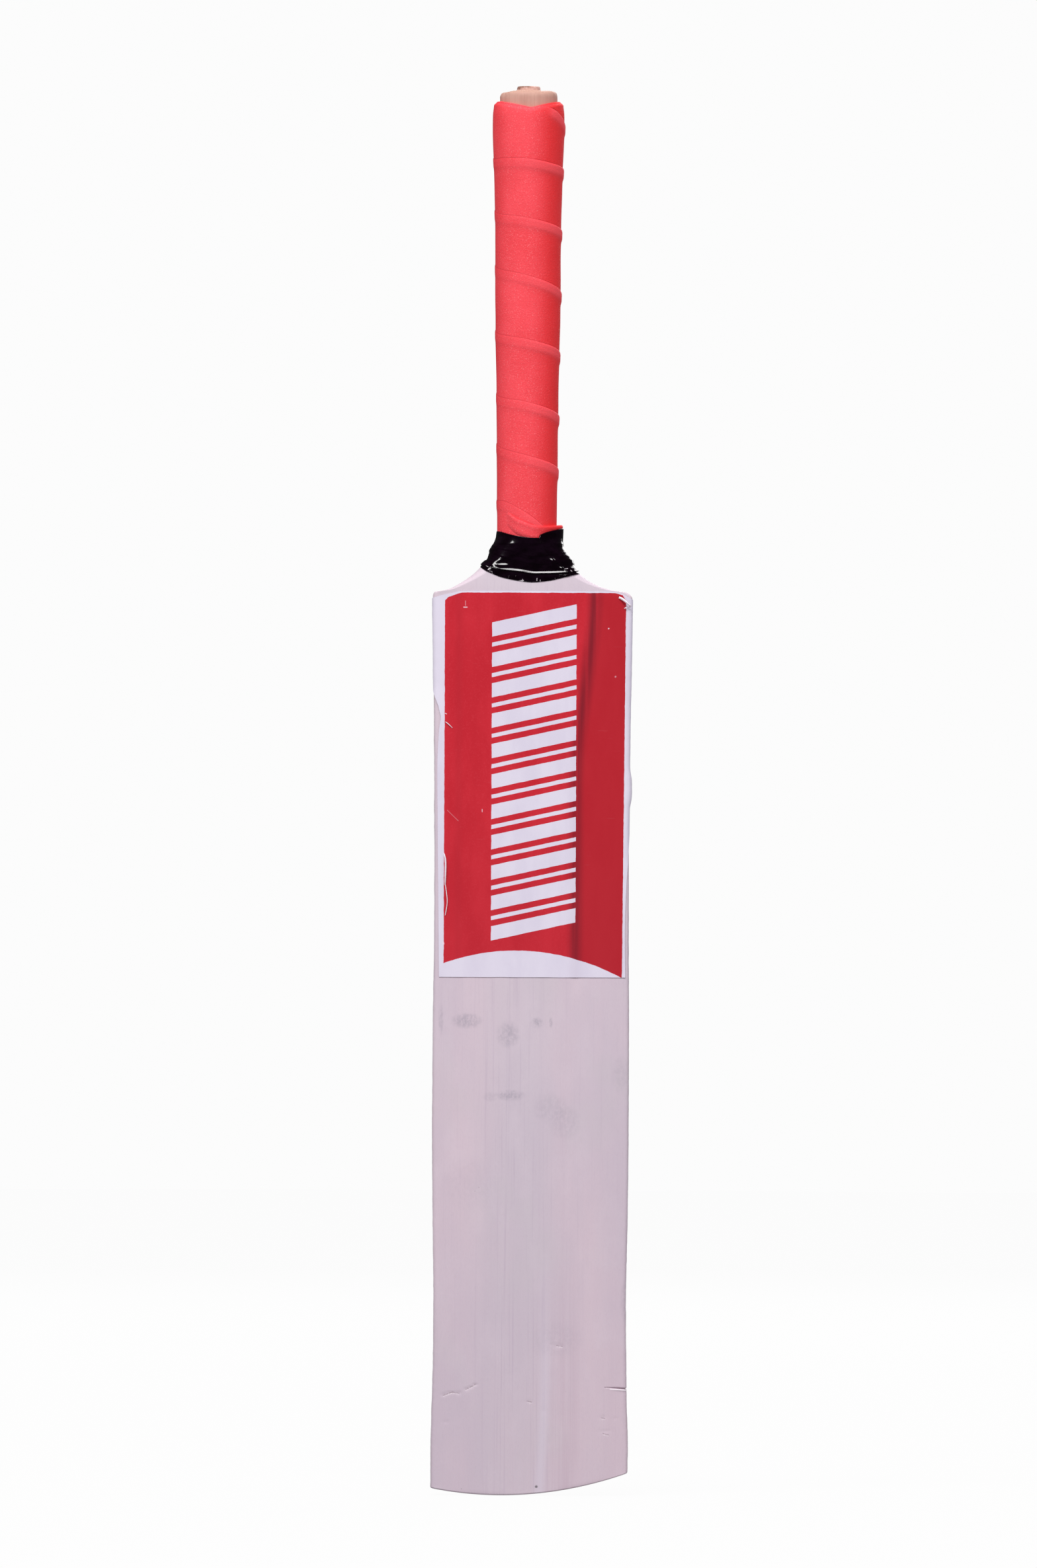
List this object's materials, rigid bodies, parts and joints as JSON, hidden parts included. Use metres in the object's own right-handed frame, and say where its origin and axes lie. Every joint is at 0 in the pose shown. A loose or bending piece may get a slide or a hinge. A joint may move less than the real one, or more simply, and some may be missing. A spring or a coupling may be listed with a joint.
{
  "type": "cricket bat",
  "caption": "Short cricket bat with a ridged-back wooden blade, a label over the upper face, a cane handle spliced in, a wound grip and black tape at the neck.",
  "frame": {"origin": "on the level of the toe's lowest point, under the middle of the blade's width and of its greatest depth", "axes": "+Z from the toe up the handle; the striking face looks towards -Y and the spine towards +Y; +X is to the right of someone who looks at the face"},
  "size_m": [0.1098, 0.0504, 0.768],
  "materials": {
    "willow": "satin",
    "cane": "matte",
    "strip_rubber": "matte",
    "twine": "matte",
    "grip_foam": "matte",
    "neck_tape": "gloss",
    "label_vinyl": "satin"
  },
  "bodies": {
    "root": {"blade": "willow", "face_label": "label_vinyl", "handle_cane_front": "cane", "handle_cane_front_middle": "cane", "handle_cane_back_middle": "cane", "handle_cane_back": "cane", "rubber_strip_front": "strip_rubber", "rubber_strip_middle": "strip_rubber", "rubber_strip_back": "strip_rubber", "twine_binding_1": "twine", "twine_binding_2": "twine", "twine_binding_3": "twine", "twine_binding_4": "twine", "grip_tape": "grip_foam", "neck_tape": "neck_tape"}
  },
  "joints": []
}
